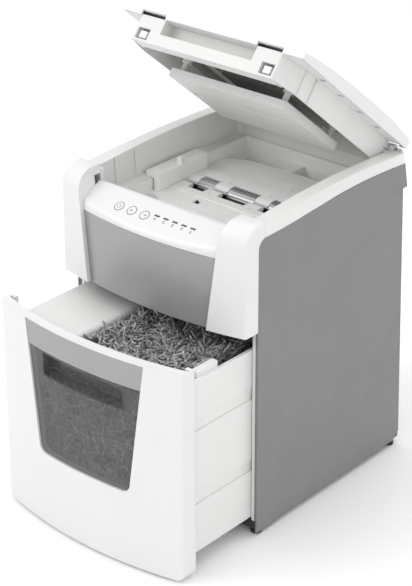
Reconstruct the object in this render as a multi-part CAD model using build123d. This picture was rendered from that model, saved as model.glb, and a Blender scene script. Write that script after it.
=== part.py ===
"""Desk-side auto-feed paper shredder, millimetres, +Z up, front towards -Y.

It stands as it is used when the waste bin is being checked: the lid is open and
the drawer is pulled part of the way out.
"""

import os
from math import acos, asin, atan2, cos, degrees, pi, radians, sin, sqrt, tan

from build123d import *

# ---- driving dimensions ----------------------------------------------------
WIDTH = 345.0
HALF = WIDTH / 2
DEPTH = 345.0            # side panel, front edge to rear edge
ORIGIN_Y = 86.545        # middle of the overall depth, measured from the panel's front edge
FOOT_H = 10.0
RIM_Z = 493.0            # top of the rim round the paper tray
RIM_REAR_Z = 488.0
PANEL_T = 2.5            # grey side panels
SKIN = 3.0               # white mouldings
GAP = 0.4                # seam between neighbouring mouldings

FRONT_R = 660.0          # plan radius of the bowed front
LEAN = 0.015             # the front leans back by this much per unit of height
WAIST_Z = 331.0          # seam between the machine head and the drawer
CORNER_Y = -26.5         # front corner of the head at the waist
TAPER = 0.125            # the wings and the window narrow towards the floor
WAIST_HALF = 112.5       # half width between the wings at the waist
PANEL_INSET = 7.0        # front panel and control panel lie behind the wings

HINGE_Y = 340.0
HINGE_Z = 489.0
LID_OPEN = 39.5          # degrees
LID_Z = 494.0            # parting plane of the closed lid
LID_HALF = 163.0
LID_FRONT_Y = 23.0
LID_REAR_Y = 343.5
LID_DROP = 37.0          # lid frame below the parting plane
LID_FRAME_HALF = 139.0

TRAY_HALF = 144.0        # upper walls of the paper tray
TRAY_FRONT_Y = 20.0
TRAY_REAR_Y = 334.0
LEDGE_Z = 442.0
LEDGE_HALF = 126.0
TRAY_Z = 422.0           # surface the paper stack lies on

SLOPE = 28.4             # degrees, control panel
PANEL_TOP_Y = 6.0        # rear edge of the control panel and its height
PANEL_TOP_Z = 470.0
PANEL_LOW_Z = 438.0

DRAWER_OUT = 125.0       # how far the drawer stands open
DRAWER_Z0 = 4.0
DRAWER_Z1 = 329.0
DRAWER_WALL = 12.0
WINDOW_Z0 = 121.0
BAND_Z0 = 287.0
BAND_Z1 = 325.0

CUT_Z = 365.0            # cutter shafts
CUT_Y = 171.5            # middle of the cutting gap
MODULE = 1.5
CUTTER_TEETH = 24
IDLER_TEETH = 12
FEED_TEETH = 14
REDUCTION_TEETH = 44
PINION_TEETH = 10

# ---- derived places --------------------------------------------------------
CUT_R = MODULE * CUTTER_TEETH / 2
IDLER_R = MODULE * IDLER_TEETH / 2
FEED_R = MODULE * FEED_TEETH / 2
REDUCTION_R = MODULE * REDUCTION_TEETH / 2
PINION_R = MODULE * PINION_TEETH / 2
FRONT_SHAFT_Y = CUT_Y - CUT_R
REAR_SHAFT_Y = CUT_Y + CUT_R
IDLER_Z = CUT_Z + CUT_R + IDLER_R
FEED_Z = IDLER_Z + IDLER_R + FEED_R
REDUCTION_Y = REAR_SHAFT_Y + CUT_R + FEED_R
MOTOR_Y = REDUCTION_Y + REDUCTION_R + PINION_R
SAG = FRONT_R - sqrt(FRONT_R**2 - HALF**2)

parts = {}


# ---- small helpers ---------------------------------------------------------
def block(x0, x1, y0, y1, z0, z1):
    return Pos((x0 + x1) / 2, (y0 + y1) / 2, (z0 + z1) / 2) * Box(x1 - x0, y1 - y0, z1 - z0)


def rod(x0, x1, y, z, r):
    """Round bar along X."""
    return Pos((x0 + x1) / 2, y, z) * Rot(0, 90, 0) * Cylinder(r, x1 - x0)


def post(x, y, z0, z1, r):
    return Pos(x, y, (z0 + z1) / 2) * Cylinder(r, z1 - z0)


def side_prism(points, x0, x1):
    """Outline in Y and Z, extruded from x0 to x1."""
    face = make_face(Polyline(*[(0, y, z) for y, z in points], close=True))
    return Pos(x0, 0, 0) * extrude(face, amount=x1 - x0, dir=(1, 0, 0))


def mirrored(shape):
    return mirror(shape, about=Plane.YZ)


def both_sides(shape):
    return shape + mirrored(shape)


def front_y(x, z, inset=0.0):
    """Y of the bowed front at a place, inset towards the back."""
    bow = sqrt(FRONT_R**2 - x**2) - FRONT_R + SAG
    return CORNER_Y + LEAN * (z - WAIST_Z) - bow + inset


def bowed_slab(half0, half1, inset, thickness, z0, z1, back=None):
    """Piece of the bowed front from z0 to z1. Its sides run straight from half0 to half1.

    The back follows the bow at the given thickness, or is flat at y = back.
    """
    wide = max(half0, half1)
    outer = FRONT_R - inset
    centre_y = front_y(0, z0) + FRONT_R
    arc = ThreePointArc(
        (-wide, centre_y - sqrt(outer**2 - wide**2), z0),
        (0, centre_y - outer, z0),
        (wide, centre_y - sqrt(outer**2 - wide**2), z0),
    )
    if back is None:
        inner = outer - thickness
        rear_left = (-wide, centre_y - sqrt(inner**2 - wide**2), z0)
        rear_right = (wide, centre_y - sqrt(inner**2 - wide**2), z0)
        rear = ThreePointArc(rear_right, (0, centre_y - inner, z0), rear_left)
        outline = [arc, Line(arc @ 1, rear_right), rear, Line(rear_left, arc @ 0)]
    else:
        rear_left = (-wide, back + 40, z0)
        rear_right = (wide, back + 40, z0)
        outline = [arc, Line(arc @ 1, rear_right), Line(rear_right, rear_left), Line(rear_left, arc @ 0)]
    rise = z1 - z0
    slab = extrude(make_face(outline), amount=rise * sqrt(1 + LEAN**2), dir=(0, LEAN, 1))
    if back is not None:
        slab -= block(-wide - 1, wide + 1, back, back + 60, z0 - 1, z1 + 1)
    if half0 != half1:
        trapezium = [(-half0, z0), (half0, z0), (half1, z1), (-half1, z1)]
        face = make_face(Polyline(*[(x, -300, z) for x, z in trapezium], close=True))
        slab &= extrude(face, amount=600, dir=(0, 1, 0))
    return slab


def taper_half(z):
    return WAIST_HALF + TAPER * (z - WAIST_Z)


def lid_pose(shape):
    """Swings a piece that is drawn with the lid closed into the open lid."""
    return Pos(0, HINGE_Y, HINGE_Z) * Rot(-LID_OPEN, 0, 0) * Pos(0, -HINGE_Y, -HINGE_Z) * shape


def drawer_pose(shape):
    return Pos(0, -DRAWER_OUT, 0) * shape


def rounded_bar(x0, x1, y0, y1, z0, z1, r):
    """Block with its four upright edges rounded."""
    bar = block(x0, x1, y0, y1, z0, z1)
    return fillet(bar.edges().filter_by(Axis.Z), r)


# ---- gears -----------------------------------------------------------------
PRESSURE = radians(25)
BACKLASH = 0.25


def involute_point(base_r, r, start):
    roll = acos(min(1.0, base_r / r))
    angle = start - (tan(roll) - roll)
    return r * cos(angle), r * sin(angle)


def gear_face(teeth, phase):
    """Gear outline in its own plane, with a tooth centred on the angle phase."""
    pitch_r = MODULE * teeth / 2
    base_r = pitch_r * cos(PRESSURE)
    tip_r = pitch_r + 0.85 * MODULE
    root_r = pitch_r - 1.15 * MODULE
    half_tooth = (pi * MODULE / 2 - BACKLASH) / 2 / pitch_r + tan(PRESSURE) - PRESSURE
    low_r = max(base_r, root_r)
    radii = [low_r + (tip_r - low_r) * step / 3 for step in range(4)]
    points = []
    for tooth in range(teeth):
        middle = phase + 2 * pi * tooth / teeth
        flank = [involute_point(base_r, r, half_tooth) for r in radii]
        right = [(x, -y) for x, y in flank]
        left = list(reversed(flank))
        root_angle = atan2(flank[0][1], flank[0][0])
        foot = (root_r * cos(root_angle), root_r * sin(root_angle))
        outline = right + left
        if root_r < low_r:
            outline = [(foot[0], -foot[1])] + outline + [foot]
        for x, y in outline:
            points.append((x * cos(middle) - y * sin(middle), x * sin(middle) + y * cos(middle)))
    return points


def gear(teeth, y, z, x0, x1, phase, bore):
    outline = [(y + u, z + v) for u, v in gear_face(teeth, phase)]
    return side_prism(outline, x0, x1) - rod(x0 - 1, x1 + 1, y, z, bore)


def mating_phase(phase, teeth, direction, other_teeth):
    """Tooth angle of the gear that meshes with this one, which lies in the given direction."""
    return direction + pi - (pi - (direction - phase) * teeth) / other_teeth


# ---- casing ----------------------------------------------------------------
SEAM = [(17, 469.2), (84, 472.2), (128, 475.5), (172, 478), (218, 479), (265, 478.6), (DEPTH, 475)]
CORNER_Z = 437.5            # shoulder of the cut-back rear corners
CORNER_CUT = 16.8           # size of the cut just below the shoulder


def panel_outline(grow=0.0):
    """Side panel outline in Y and Z: rounded top front corner, arched top, dropped front skid."""
    start = (0, -grow, 454)
    low = FOOT_H - grow
    top = [(0, y, z + grow) for y, z in SEAM]
    edges = [
        ThreePointArc(start, (0, 5 - 0.7 * grow, 465.4 + 0.7 * grow), top[0]),
        Spline(*top),
        Polyline(
            top[-1],
            (0, DEPTH, low + 13),
            (0, DEPTH - 13, low),
            (0, 46, low),
            (0, 42, low - 4),
            (0, -grow, low - 4),
            start,
        ),
    ]
    return make_face(edges)


def corner_space(low, low_cut, high, high_cut, depth):
    """Space outside a slanting cut across the right rear corner, moved inwards by depth."""
    base = Vector(HALF, DEPTH - low_cut, low)
    upper = Vector(HALF, DEPTH - high_cut, high)
    inner = Vector(HALF - high_cut, DEPTH, high)
    normal = (inner - upper).cross(base - upper).normalized()
    if normal.X < 0:
        normal = normal * -1
    space = Plane(origin=base - normal * depth, z_dir=normal) * Pos(0, 0, 150) * Box(1200, 1200, 300)
    return space & block(120, 200, 250, 400, low, high)


def rear_corner(depth=0.0):
    """Everything outside the cut-back rear corner on the right: slender below, stepped out at the shoulder."""
    lower = corner_space(20, 0.0, CORNER_Z, CORNER_CUT, depth)
    return lower + corner_space(CORNER_Z, 7.0, 500, 19.5, depth)


def shoulder_relief():
    """Thin wedge taken off the side panel below its shoulder line, deepest at the rear."""
    relief = 1.5
    normal = Vector(1, relief / 130, relief / 377).normalized()
    outside = Plane(origin=(HALF, 215, CORNER_Z), z_dir=normal) * Pos(0, 0, 50) * Box(1200, 1200, 100)
    return outside & block(160, 190, 200, 360, 20, CORNER_Z)


def side_panel():
    """Grey outer panel that turns round the rear corner, with returns and three stiffening ribs."""
    inner = HALF - PANEL_T
    deep = Pos(HALF - 24, 0, 0) * extrude(panel_outline(), amount=24, dir=(1, 0, 0))
    room = block(140, inner, -5, DEPTH + 5, 0, 500) - rear_corner(PANEL_T)
    panel = deep - rear_corner() - room - shoulder_relief()
    panel += block(inner - 2.6, inner, 1, 4, 25, 440)
    for z in (110, 230, 350):
        panel += block(inner - 2.0, inner, 12, DEPTH - 26, z, z + 3)
    return panel


def base_pan():
    pan = block(-169.5, 169.5, 2, 343, FOOT_H, FOOT_H + 3)
    for y0, y1 in ((2, 5), (340, 343)):
        pan += block(-169.5, 169.5, y0, y1, FOOT_H + 3, FOOT_H + 13)
    rail = block(118, 124, 6, 339, FOOT_H + 3, 25)
    rail += block(166.5, 169.5, 5, 340, FOOT_H + 3, FOOT_H + 13)
    return pan + both_sides(rail)


def feet():
    pads = []
    for x in (-162, 162):
        for y in (12, 334):
            pads.append(post(x, y, 0, 6, 8) + post(x, y, 6, FOOT_H, 6))
    return Compound(pads)


def side_frame():
    """Inner upright that carries the cutting unit and the tray."""
    plate = block(162, 165, 4, 340, FOOT_H + 13, 438)
    plate += block(161.2, 166.5, 2, 5.5, FOOT_H + 13.2, WAIST_Z - 2)
    for z in (90, 200, 310):
        plate += block(165, 167.2, 20, 314, z, z + 4)
    return plate - rear_corner(4.0)


def rear_cover():
    """Back panel with louvres over the motor, the mains inlet and the rocker switch."""
    cover = block(-169.4, 169.4, 345.2, 348, FOOT_H, 462) - both_sides(rear_corner())
    cover += block(-166.5, 166.5, 343.4, 345.2, 20, 452) - both_sides(rear_corner(PANEL_T + 0.4))
    for row in range(9):
        z = 330 + 9 * row
        cover -= block(20, 130, 340, 350, z, z + 4)
    cover -= block(-140, -112, 340, 350, 40, 60)
    cover -= block(-104, -90, 340, 350, 38.5, 61.5)
    cover += block(-106, -88, 330, 333, 36, 64) + block(-106, -104, 333, 343.4, 36, 64)
    return cover


# ---- head: rim, paper tray -------------------------------------------------
RIM_LINE = [(12.4, 484.0), (43, 486.2), (110, 490.6), (183, RIM_Z), (274, 491.6), (347.6, RIM_REAR_Z)]


def top_housing():
    """Rim, tray walls and ledge in one moulding, open at the front for the control panel."""
    crest = Spline(*[(0, y, z) for y, z in RIM_LINE])
    skirt = Polyline(
        (0, 347.6, RIM_REAR_Z), (0, 347.6, 462.4), (0, 342, 462.4), (0, 342, 440), (0, 12.4, 440), (0, 12.4, 484.0)
    )
    body = Pos(-HALF, 0, 0) * extrude(make_face([crest, skirt]), amount=WIDTH, dir=(1, 0, 0))
    bevel = [(HALF - 8.5, RIM_Z + 6), (HALF + 9, RIM_Z + 6), (HALF + 9, 470), (HALF, 477), (HALF - 8.5, RIM_Z)]
    slant = extrude(make_face(Polyline(*[(x, 0, z) for x, z in bevel], close=True)), amount=360, dir=(0, 1, 0))
    body -= both_sides(slant)
    outer_cut = Pos(HALF - PANEL_T - 3.5, 0, 0) * extrude(panel_outline(GAP), amount=20, dir=(1, 0, 0))
    body -= both_sides(outer_cut)
    body -= both_sides(rear_corner())
    below_seam = Pos(120, 0, 0) * extrude(panel_outline(GAP), amount=60, dir=(1, 0, 0))
    body -= both_sides(rear_corner(PANEL_T + 0.4) & below_seam)
    well = block(-TRAY_HALF, TRAY_HALF, TRAY_FRONT_Y, TRAY_REAR_Y, LEDGE_Z, RIM_Z + 10)
    well_edges = well.edges().filter_by(Axis.Z)
    body -= fillet(well_edges, 6)
    lower = rounded_bar(-LEDGE_HALF, LEDGE_HALF, 44, 331, 430, LEDGE_Z + 1, 4)
    body -= lower
    body -= block(-139, 139, 330, 350, 480, 500)
    body -= block(-131, 131, 10, TRAY_FRONT_Y + 1, PANEL_TOP_Z - 6, 500)
    body -= block(-166, -147, 18, 328, 438, 481)
    body -= block(147, 166, 18, 328, 438, 481)
    body -= block(-143, 143, 337, 345, 438, 474)
    body -= block(-134, 134, 11, 17, 438, 462)
    for y in (54, 96):
        slot = [(y - 1.2, 486), (y + 1.2, 486), (y + 4, 446), (y - 4, 446)]
        body -= both_sides(side_prism(slot, TRAY_HALF - 1, TRAY_HALF + 2))
    lug = rod(139.4, 147, HINGE_Y, HINGE_Z, 6.2) + block(139.4, 147, HINGE_Y - 6.2, HINGE_Y + 6.2, 479, HINGE_Z)
    body -= both_sides(block(139, 148, 333.9, 348, 481, 500))
    body += both_sides(lug)
    return body - rod(-150, 150, HINGE_Y, HINGE_Z, 3.0)


ROLLER_SPANS = [(-92.5, -62.5), (-35, 15), (42.5, 72.5)]
FRONT_ROLLER_R = 10.6
REAR_ROLLER_R = 14.2
FRONT_BAR_Z = TRAY_Z + 1.8
REAR_BAR_Z = TRAY_Z + 3.8


def feed_plate():
    """Floor of the paper tray with two roller bars, front and rear pockets and the feed gap."""
    lip = rounded_bar(-LEDGE_HALF + GAP, LEDGE_HALF - GAP, 44.4, 330.6, 404, LEDGE_Z - GAP, 3.6)
    lip -= rounded_bar(-LEDGE_HALF + 2.4, LEDGE_HALF - 2.4, 46.8, 328.2, 406.5, LEDGE_Z + 2, 3)
    lip -= rounded_bar(-LEDGE_HALF + 1.4, LEDGE_HALF - 1.4, 45.6, 329.4, TRAY_Z, LEDGE_Z + 2, 3)
    lip += block(-123, 123, 298, 330.6, 394, 404.5) - block(-121, 121, 300, 328.2, 396, 405)
    lip -= block(-121, 121, 300, 328.2, 403, 407)
    deck_outline = [
        (-123.9, 104), (-112, 104), (-74, 81), (123.9, 81), (123.9, 300),
        (-20, 296), (-60, 295), (-92, 291), (-112, 282), (-123.9, 276),
    ]
    deck_face = make_face(Polyline(*[(x, y, 406) for x, y in deck_outline], close=True))
    deck = extrude(deck_face, amount=TRAY_Z - 406, dir=(0, 0, 1))
    plate = lip + deck + block(-26, -10, 290, 329, 396, TRAY_Z)
    front_bar = block(-111.6, 116, FRONT_SHAFT_Y - 17, CUT_Y - 3.6, 412, FRONT_BAR_Z)
    rear_bar = block(-111.6, 116, REAR_SHAFT_Y, REAR_SHAFT_Y + 30.5, 412, REAR_BAR_Z)
    rear_bar += rod(-111.6, 116, REAR_SHAFT_Y, FEED_Z, REAR_BAR_Z - FEED_Z)
    bars = fillet(front_bar.edges().filter_by(Axis.X).group_by(Axis.Z)[-1], 1.2) + rear_bar
    plate += bars
    plate -= block(-118, 118, FRONT_SHAFT_Y - 13.6, REAR_SHAFT_Y + 15.8, 390, 418)
    plate -= block(-112, 112, CUT_Y - 3.6, REAR_SHAFT_Y - 12.7, 400, 430)
    for x0, x1 in ROLLER_SPANS:
        plate -= rod(x0 - 0.8, x1 + 0.8, FRONT_SHAFT_Y, FEED_Z, FRONT_ROLLER_R + 0.5)
        plate -= rod(x0 - 0.8, x1 + 0.8, REAR_SHAFT_Y, FEED_Z, REAR_ROLLER_R + 0.5)
        plate -= block(x0 - 0.8, x1 + 0.8, FRONT_SHAFT_Y - 0.2, CUT_Y, 400, 430)
        plate -= block(x0 - 0.8, x1 + 0.8, CUT_Y, REAR_SHAFT_Y + 8, 400, 430)
    for x in (-99, -47, 29.5):
        plate -= post(x, FRONT_SHAFT_Y - 2, FRONT_BAR_Z - 3, FRONT_BAR_Z + 2, 1.7)
        plate -= post(x, REAR_SHAFT_Y + 11, REAR_BAR_Z - 3, REAR_BAR_Z + 2, 1.7)
    plate -= post(32, 246, 400, 430, 2.6)
    for side in (-1, 1):
        for y in (FRONT_SHAFT_Y, REAR_SHAFT_Y):
            x0, x1 = sorted((side * 117, side * 131))
            plate -= rod(x0, x1, y, FEED_Z, 5.6)
    plate -= block(-50, -40, 117.2, 125, 400, 430)
    plate -= block(-49, -41, 117.2, 141, 400, 419)
    return plate - rod(-52.6, -37.4, 136, 413, 1.56)


def guide_block():
    """Stop on the left of the tray, with a locating post."""
    bar = rounded_bar(-123.2, -112.5, 112, 226, TRAY_Z + 0.2, LEDGE_Z + 5, 5)
    bar += rounded_bar(-139, -112.5, 112, 226, LEDGE_Z + 0.2, LEDGE_Z + 7, 5)
    bar += post(-119, 168, LEDGE_Z + 7, LEDGE_Z + 17, 4.5)
    return fillet(bar.edges().group_by(Axis.Z)[-1], 1)


def paper_flag():
    """Small lever that the paper stack presses down."""
    lever = rod(-48.5, -41.5, 136, 413, 2.6) + rod(-52, -38, 136, 413, 1.5)
    lever += block(-46.5, -43.5, 122.2, 135, 412, 415)
    return lever + block(-46.5, -43.5, 120.6, 123.6, 412, 424.5)


# ---- front -----------------------------------------------------------------
def wing_volume(inset):
    """Outer shape of the right wing, or its hollow when inset."""
    top = RIM_Z - inset
    low = WAIST_Z + inset
    slab = bowed_slab(HALF - inset, HALF - inset, inset, 0, low, top, back=12.0)
    slab = fillet(slab.edges().filter_by(lambda edge: is_nose(edge, top)), 30 - inset)
    if not inset:
        slab = fillet(slab.edges().filter_by(is_front_corner), 4.5)
    inner0 = taper_half(low) + inset
    inner1 = taper_half(top) + inset
    wedge = [(inner0, low), (HALF + 1, low), (HALF + 1, top), (inner1, top)]
    face = make_face(Polyline(*[(x, -300, z) for x, z in wedge], close=True))
    return slab & extrude(face, amount=600, dir=(0, 1, 0))


def is_front_corner(edge):
    middle = edge.center()
    return abs(middle.X) > HALF - 0.5 and middle.Y < 11 and middle.Z > WAIST_Z + 1


def is_nose(edge, top):
    return edge.center().Z > top - 0.1 and abs(edge.center().X) < 50 and edge.center().Y < 0


def wing():
    """White side cheek of the head, a hollow moulding open at the back."""
    shell = wing_volume(0) - wing_volume(SKIN)
    shell -= Pos(HALF - PANEL_T - 4, 0, 0) * extrude(panel_outline(GAP), amount=20, dir=(1, 0, 0))
    return shell - block(90, HALF - PANEL_T - 4 + 0.01, -GAP, 13, 300, 480)


def front_panel():
    """Silver-grey fascia between the wings."""
    low = WAIST_Z
    high = PANEL_LOW_Z - GAP
    return bowed_slab(taper_half(low) - GAP, taper_half(high) - GAP, PANEL_INSET, SKIN, low, high)


BUTTON_XS = {"power_button": -66.0, "reverse_button": -42.0, "forward_button": -18.0}
BUTTON_R = 7.4
LIGHT_XS = [1.0, 17.5, 34.0, 50.5, 67.0]
BUTTON_Y = -18.0
LIGHT_Y = -13.0


def slope_plane(y, depth=0.0):
    """Plane on the control panel's slope at the given Y, sunk by depth."""
    z = PANEL_TOP_Z - (PANEL_TOP_Y - y) * tan(radians(SLOPE))
    normal = Vector(0, -sin(radians(SLOPE)), cos(radians(SLOPE)))
    origin = Vector(0, y, z) - normal * depth
    return Plane(origin=origin, x_dir=(1, 0, 0), z_dir=normal)


def control_panel():
    """White sloping panel with openings for the keys and the indicator lights."""
    high = 485.0

    def volume(inset):
        low = PANEL_LOW_Z + (inset - 4 if inset else 0)
        half0 = taper_half(low) - GAP - inset
        half1 = taper_half(high) - GAP - inset
        solid = bowed_slab(half0, half1, PANEL_INSET + inset, 0, low, high, back=11.6 - inset)
        lid = slope_plane(PANEL_TOP_Y, inset) * Pos(0, 0, 50) * Box(400, 200, 100)
        return solid - lid - block(-200, 200, PANEL_TOP_Y - inset, 30, PANEL_TOP_Z - inset, 500)

    outer = volume(0)
    brow = outer.edges().filter_by(lambda edge: edge.center().Y < -30 and abs(edge.center().X) < 5 and edge.center().Z > 441)
    outer = fillet(brow, 9)
    shell = outer - volume(SKIN)
    for x in BUTTON_XS.values():
        shell -= slope_plane(BUTTON_Y) * Pos(x, 0, -3) * Cylinder(BUTTON_R + 0.3, 12)
    for x in LIGHT_XS:
        shell -= slope_plane(LIGHT_Y) * Pos(x, 0, -3) * Box(9.4, 2.9, 12)
    return shell


def button(x):
    cap = slope_plane(BUTTON_Y) * Pos(x, 0, -2.4) * Cylinder(BUTTON_R, 5.2)
    flange = slope_plane(BUTTON_Y) * Pos(x, 0, -6) * Cylinder(BUTTON_R + 1.6, 2)
    stem = slope_plane(BUTTON_Y) * Pos(x, 0, -7.6) * Cylinder(2, 2)
    return cap + flange + stem


def indicator_lights():
    lenses = [slope_plane(LIGHT_Y) * Pos(x, 0, -2.9) * Box(9, 2.5, 6) for x in LIGHT_XS]
    return Compound(lenses)


def control_board():
    board = slope_plane(-14, 11.6) * Box(176, 30, 1.6)
    for x in BUTTON_XS.values():
        board += slope_plane(BUTTON_Y, 10.8) * Pos(x, 0, 0) * Box(6, 6, 1.8)
    return board


# ---- cutting unit ----------------------------------------------------------
PLATE_X = 130.0
GEAR_X0 = 134.0
GEAR_X1 = 142.0
OUTER_X0 = 145.0
OUTER_X1 = 152.0


def cutter_plates():
    """Two steel side plates that carry all the shafts."""
    outline = [(FRONT_SHAFT_Y - 40, 330), (MOTOR_Y + 40, 330), (MOTOR_Y + 40, 402),
               (REAR_SHAFT_Y + 22, 402), (REAR_SHAFT_Y + 12, 421), (FRONT_SHAFT_Y - 12, 421),
               (FRONT_SHAFT_Y - 40, 402)]
    plate = side_prism(outline, PLATE_X, PLATE_X + 2.5)
    for y in (FRONT_SHAFT_Y, REAR_SHAFT_Y):
        plate -= rod(PLATE_X - 1, PLATE_X + 4, y, CUT_Z, 6.05)
        plate -= rod(PLATE_X - 1, PLATE_X + 4, y, FEED_Z, 4.05)
        plate -= rod(PLATE_X - 1, PLATE_X + 4, y, IDLER_Z, 3.0)
    plate -= rod(PLATE_X - 1, PLATE_X + 4, REDUCTION_Y, CUT_Z, 5.05)
    plate -= rod(PLATE_X - 1, PLATE_X + 4, MOTOR_Y, CUT_Z, 9)
    studs = [rod(PLATE_X, GEAR_X1 + 1.5, y, IDLER_Z, 3.0) for y in (FRONT_SHAFT_Y, REAR_SHAFT_Y)]
    return Compound([plate + studs, mirrored(plate)])


def tie_rods():
    places = [(FRONT_SHAFT_Y - 32, 340), (FRONT_SHAFT_Y - 32, 392), (REAR_SHAFT_Y + 30, 340)]
    bars = [rod(-PLATE_X, PLATE_X, y, z, 5) for y, z in places]
    return Compound(bars)


def crossbeams():
    """Two folded steel beams under the cutting unit, across the side frames."""
    beams = []
    for y in (FRONT_SHAFT_Y - 38, MOTOR_Y + 26):
        beams.append(block(-161.8, 161.8, y, y + 12, 326.6, 329.8) + block(-161.8, 161.8, y, y + 3, 316, 326.6))
    return Compound(beams)


DISC_PITCH = 6.0
DISC_T = 2.5
DISC_COUNT = 18


def cutter(y, shift):
    """Steel cutter: shaft, spacers and toothed discs that mesh between the other cutter's discs."""
    shaft = rod(-136, 143, y, CUT_Z, 6.0)
    core = rod(-112, 112, y, CUT_Z, 12.0)
    disc = Sketch() + Circle(21.6)
    for step in range(5):
        turn = Rot(0, 0, 72 * step)
        disc -= turn * Pos(21.6, 2.2) * Rot(0, 0, 25) * Rectangle(5, 4.5)
    cutters = shaft + core
    for index in range(DISC_COUNT):
        x = DISC_PITCH * (index - (DISC_COUNT - 1) / 2) + shift
        blade = Plane(origin=(x, y, CUT_Z), x_dir=(0, 1, 0), z_dir=(1, 0, 0)) * Rot(0, 0, 14 * index) * disc
        cutters += extrude(blade, amount=DISC_T, dir=(1, 0, 0))
    return cutters


def stripper_combs():
    """Plastic combs between the discs, which clear the shreds away."""
    combs = []
    for side in (-1, 1):
        y = CUT_Y + side * CUT_R
        y0, y1 = sorted((y + side * 24, y + side * 29))
        comb = block(-113, 113, y0, y1, 346, 384)
        combs.append(comb)
    return Compound(combs)


def feed_shaft(y):
    shaft = rod(-134, GEAR_X1 + 1, y, FEED_Z, 4.0)
    hubs = [rod(x0 + 0.5, x1 - 0.5, y, FEED_Z, 6.5) for x0, x1 in ROLLER_SPANS]
    for hub in hubs:
        shaft += hub
    return shaft


def feed_rollers(y, radius):
    """Ribbed rubber sleeves on a feed shaft."""
    sleeves = []
    for x0, x1 in ROLLER_SPANS:
        sleeve = rod(x0, x1, y, FEED_Z, radius) - rod(x0 - 1, x1 + 1, y, FEED_Z, 6.5)
        groove_count = int((x1 - x0) / 10)
        for step in range(1, groove_count):
            x = x0 + (x1 - x0) * step / groove_count
            sleeve -= rod(x - 0.6, x + 0.6, y, FEED_Z, radius + 1) - rod(x - 0.6, x + 0.6, y, FEED_Z, radius - 0.8)
        sleeves.append(sleeve)
    return Compound(sleeves)


def motor():
    """Drive motor with its flange, vent ring and rear bearing cap."""
    can = rod(18, 120, MOTOR_Y, CUT_Z, 31)
    can = fillet(can.edges().filter_by(GeomType.CIRCLE), 3)
    flange = rod(120, 129.6, MOTOR_Y, CUT_Z, 22)
    cap = rod(6, 18, MOTOR_Y, CUT_Z, 12)
    ring = rod(40, 44, MOTOR_Y, CUT_Z, 32.2)
    return (can + flange + cap + ring) - rod(126, 131, MOTOR_Y, CUT_Z, 8)


def motor_pinion(phase):
    shaft = rod(127, OUTER_X1 + 1, MOTOR_Y, CUT_Z, 3.5)
    return shaft + gear(PINION_TEETH, MOTOR_Y, CUT_Z, OUTER_X0, OUTER_X1, phase, 3)


def reduction_gear(small_phase, big_phase):
    shaft = rod(126, OUTER_X1 + 1, REDUCTION_Y, CUT_Z, 5.0)
    small = gear(FEED_TEETH, REDUCTION_Y, CUT_Z, GEAR_X0, GEAR_X1, small_phase, 4)
    big = gear(REDUCTION_TEETH, REDUCTION_Y, CUT_Z, OUTER_X0, OUTER_X1, big_phase, 4)
    return shaft + small + big + rod(GEAR_X1, OUTER_X0, REDUCTION_Y, CUT_Z, 8)


def gearbox_cover():
    """Dust cover over the gear train."""
    front = FRONT_SHAFT_Y - 20
    rear = MOTOR_Y + 25
    step = REAR_SHAFT_Y + 16
    outline = [(front, 333), (rear, 333), (rear, 399), (step + 2, 399), (step, 420), (front + 4, 420), (front, 416)]
    return side_prism(outline, 155, 157)


def power_board():
    board = block(-120, -20, 262, 264, 336, 396)
    board += block(-110, -80, 264, 282, 344, 372)
    board += block(-60, -45, 264, 276, 344, 388)
    board += block(-38, -30, 264, 284, 344, 360)
    return board


def inlet_socket():
    """Appliance inlet with three pins, set in the rear cover."""
    shell = block(-139.6, -112.4, 324, 350.0, 40.4, 59.6) - block(-137, -115, 330, 351, 43, 57)
    pins = Compound([block(x, x + 2, 329, 346, 48, 53) for x in (-133, -127, -121)])
    return shell + pins


def rocker_switch():
    """Rocker on a cross axle, resting with its lower half pressed in."""
    rocker = side_prism([(345.5, 39.5), (348.0, 39.5), (350.4, 50), (351.0, 60.5), (345.5, 60.5)], -103, -91)
    rocker += side_prism([(340, 46), (345.5, 44), (345.5, 56), (340, 54)], -100, -94)
    return rocker


# ---- lid, drawn closed -----------------------------------------------------
SLOT_Y = HINGE_Y - 171.0
CROWN = 20.0
FINGER_HALF = 82.5
STEP_HALF = 127.0


def crown_outline(inset):
    """Side view of the lid's cover: low at the front, highest behind the middle, rounded at the rear."""
    top = LID_Z - inset
    low = LID_Z - (1 if inset else 0)
    front = LID_FRONT_Y + inset
    rear = LID_REAR_Y - inset
    crest = Spline(
        (0, front, top + 9.5),
        (0, front + 75, top + 17),
        (0, 205, top + CROWN),
        (0, rear - 45, top + 18.5),
        (0, rear - 6, top + 14.5),
    )
    tail = ThreePointArc((0, rear - 6, top + 14.5), (0, rear - 1.4, top + 12), (0, rear, top + 8))
    base = Polyline((0, rear, top + 8), (0, rear, low), (0, front, low), (0, front, top + 9.5))
    return make_face([crest, tail, base])


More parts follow.
